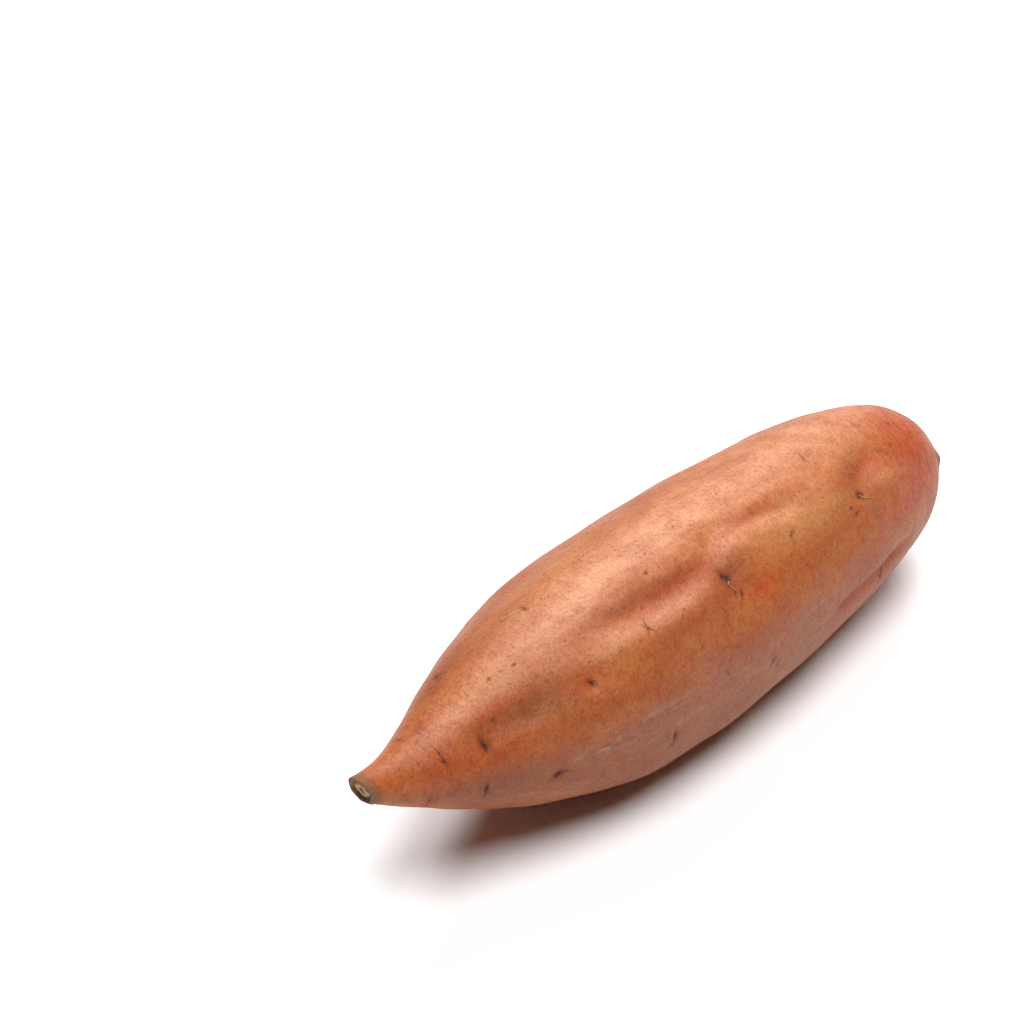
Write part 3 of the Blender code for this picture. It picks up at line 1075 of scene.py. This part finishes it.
    def _spots(self, root: bpy.types.Object, skin: Skin) -> list[Spot]:
        """Find where each scar lies on the finished skin.

        Args:
            root: The carved root.
            skin: Places on its skin.

        Returns:
            The scars with their middles and axes.
        """
        spots = []
        for scar in SCARS:
            middle, outwards = skin.on_surface(root, scar.share, scar.turn)
            along = (Vector((1.0, 0.0, 0.0)) - outwards * outwards.x).normalized()
            round_by = along.cross(outwards) * -1.0
            angle = math.radians(scar.heading)
            lengthwise = along * math.cos(angle) + round_by * math.sin(angle)
            axes = Matrix((lengthwise, outwards.cross(lengthwise), outwards)).transposed()
            spots.append(Spot(scar, middle, axes))
        return spots

    def _rootlet(
        self, root: bpy.types.Object, skin: Skin, item: Rootlet, fibre: bpy.types.Material,
    ) -> bpy.types.Object:
        """Lay one dried hair root on the skin.

        Args:
            root: The carved root.
            skin: Places on its skin.
            item: The hair root's path and thickness.
            fibre: Its material.

        Returns:
            The hair root, a closed tapered tube.
        """
        ends = [skin.on_surface(root, share, turn) for share, turn in item.path]
        knots = [spot + outwards * item.lift_mm * MM for spot, outwards in ends]
        route = smooth_route(knots, self.hair_steps)
        mesh = bmesh.new()
        circle = bmesh.ops.create_circle(mesh, cap_ends=True, segments=self.hair_sides, radius=1.0)
        ring = list(circle["verts"])
        for index, spot in enumerate(route):
            if index:
                ring = self._grow(mesh, ring)
            ahead = route[min(index + 1, len(route) - 1)] - route[max(index - 1, 0)]
            turn = ahead.to_track_quat("Z", "Y")
            radius = 0.5 * item.thick_mm * MM * (1.0 - 0.7 * index / (len(route) - 1))
            for number, vert in enumerate(ring):
                angle = 2.0 * math.pi * number / self.hair_sides
                vert.co = spot + turn @ Vector((radius * math.cos(angle), radius * math.sin(angle), 0.0))
        mesh.faces.new(ring)
        bmesh.ops.recalc_face_normals(mesh, faces=mesh.faces)
        hair = place_mesh(mesh, item.name)
        hair.data.shade_smooth()
        hair.data.materials.append(fibre)
        return hair


def smooth_route(knots: list[Vector], steps: int) -> list[Vector]:
    """Return points evenly spaced along a smooth curve through the knots.

    Args:
        knots: Points that the curve passes.
        steps: How many points to give back.

    Returns:
        The points, from the first knot to the last.
    """
    padded = [2.0 * knots[0] - knots[1], *knots, 2.0 * knots[-1] - knots[-2]]
    route = []
    for index in range(steps):
        place = (len(knots) - 1) * index / (steps - 1)
        run = min(int(place), len(knots) - 2)
        u = place - run
        before, start, end, after = padded[run:run + 4]
        route.append(0.5 * (
            2.0 * start + (end - before) * u
            + (2.0 * before - 5.0 * start + 4.0 * end - after) * u ** 2
            + (3.0 * (start - end) + after - before) * u ** 3
        ))
    return route


def place_mesh(mesh: bmesh.types.BMesh, name: str) -> bpy.types.Object:
    """Turn a bmesh into an object in the scene, and free it."""
    data = bpy.data.meshes.new(name)
    mesh.to_mesh(data)
    mesh.free()
    placed = bpy.data.objects.new(name, data)
    bpy.context.scene.collection.objects.link(placed)
    return placed


def read_normals(data: bpy.types.Mesh) -> np.ndarray:
    """Return a mesh's vertex normals as rows of X, Y and Z."""
    normals = np.empty(len(data.vertices) * 3)
    data.vertices.foreach_get("normal", normals)
    return normals.reshape(-1, 3)


def read_points(data: bpy.types.Mesh) -> np.ndarray:
    """Return a mesh's vertices as rows of X, Y and Z."""
    points = np.empty(len(data.vertices) * 3)
    data.vertices.foreach_get("co", points)
    return points.reshape(-1, 3)


def write_points(data: bpy.types.Mesh, points: np.ndarray) -> None:
    """Put rows of X, Y and Z back into a mesh."""
    data.vertices.foreach_set("co", points.astype(np.float32).ravel())
    data.update()


def store(data: bpy.types.Mesh, name: str, values: np.ndarray) -> None:
    """Keep one number for each vertex under a name that a material can read."""
    layer = data.attributes.new(name, "FLOAT", "POINT")
    layer.data.foreach_set("value", values.astype(np.float32))


@dataclass
class Studio:
    """Pale floor, a wide soft light overhead and the camera."""

    floor_size: float = 12.0
    azimuth: float = math.radians(-48.5)
    elevation: float = math.radians(36.5)
    distance: float = 1.012
    focal_mm: float = 140.0
    sensor_mm: float = 36.0
    aim: tuple[float, float, float] = (0.0390, 0.0791, 0.0)

    def build(self) -> None:
        """Set up the floor, the lights, the sky and the camera."""
        self._floor()
        self._key((-0.06, -0.27, 1.00), math.radians(36.0), 3.35)
        self._strip((0.52, 0.54, 1.00), (1.1, 0.40), 15.0)
        self._sky(0.03)
        self._camera()
        scene = bpy.context.scene
        scene.view_settings.view_transform = "Standard"
        scene.view_settings.look = "None"

    def _floor(self) -> None:
        """Lay the floor."""
        mesh = bmesh.new()
        bmesh.ops.create_grid(mesh, x_segments=1, y_segments=1, size=0.5 * self.floor_size)
        floor = place_mesh(mesh, "paper_floor")
        floor.data.materials.append(FloorFinish().make())
        floor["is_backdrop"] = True

    def _key(self, towards: tuple, width: float, strength: float) -> None:
        """Shine the overhead key light, a round softbox far enough off to light the floor evenly.

        Args:
            towards: Direction of the light from the root.
            width: Angle that it spans in the sky, in radians.
            strength: Irradiance on a surface that faces it.
        """
        lamp = bpy.data.lights.new("overhead_key", "SUN")
        lamp.angle = width
        lamp.energy = strength
        light = bpy.data.objects.new("overhead_key", lamp)
        light.location = towards
        light.rotation_euler = (-Vector(towards)).to_track_quat("-Z", "Y").to_euler()
        bpy.context.scene.collection.objects.link(light)

    def _strip(self, place: tuple, size: tuple, power: float) -> None:
        """Hang the strip softbox that draws the long highlight, its length running along X.

        Args:
            place: Where its middle is, in metres; it faces the origin.
            size: Length and width, in metres.
            power: Watts.
        """
        lamp = bpy.data.lights.new("rear_strip", "AREA")
        lamp.shape = "RECTANGLE"
        lamp.size, lamp.size_y = size
        lamp.energy = power
        light = bpy.data.objects.new("rear_strip", lamp)
        light.location = place
        back = Vector(place).normalized()
        side = (Vector((1.0, 0.0, 0.0)) - back * back.x).normalized()
        light.rotation_euler = Matrix((side, back.cross(side), back)).transposed().to_euler()
        bpy.context.scene.collection.objects.link(light)

    def _sky(self, strength: float) -> None:
        """Surround the studio with white that looks bright but lights the room only a little.

        Args:
            strength: How strongly the white lights what stands in it.
        """
        world = bpy.data.worlds.new("white_room")
        world.use_nodes = True
        tree = world.node_tree
        tree.nodes.clear()
        seen = add_node(tree, "ShaderNodeLightPath")
        level = add_node(tree, "ShaderNodeMapRange", {
            "Value": seen.outputs["Is Camera Ray"], "To Min": strength, "To Max": 1.0,
        })
        background = add_node(tree, "ShaderNodeBackground", {
            "Color": (1.0, 1.0, 1.0, 1.0), "Strength": level.outputs["Result"],
        })
        add_node(tree, "ShaderNodeOutputWorld", {"Surface": background.outputs["Background"]})
        bpy.context.scene.world = world

    def _camera(self) -> None:
        """Aim the camera."""
        lens = bpy.data.cameras.new("camera")
        lens.lens = self.focal_mm
        lens.sensor_width = self.sensor_mm
        lens.clip_start = 0.01
        lens.clip_end = 100.0
        camera = bpy.data.objects.new("camera", lens)
        back = Vector((
            math.sin(self.azimuth) * math.cos(self.elevation),
            -math.cos(self.azimuth) * math.cos(self.elevation),
            math.sin(self.elevation),
        ))
        camera.location = Vector(self.aim) + back * self.distance
        camera.rotation_euler = (-back).to_track_quat("-Z", "Y").to_euler()
        bpy.context.scene.collection.objects.link(camera)
        bpy.context.scene.camera = camera


def main() -> None:
    """Build the studio and the root inside the CAD part's box, and log each piece's face count."""
    logging.basicConfig(level=logging.INFO, format="%(name)s: %(message)s")
    cad_low, cad_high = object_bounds()
    Studio().build()
    LOG.info("studio ready")
    root, *hairs = SweetPotato(RootShape()).build(Vector(cad_low), Vector(cad_high))
    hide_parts(NODE)
    for piece in (root, *hairs):
        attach(piece, BODY)
        LOG.info("%s: %d faces", piece.name, len(piece.data.polygons))


if __name__ == "__main__":
    main()
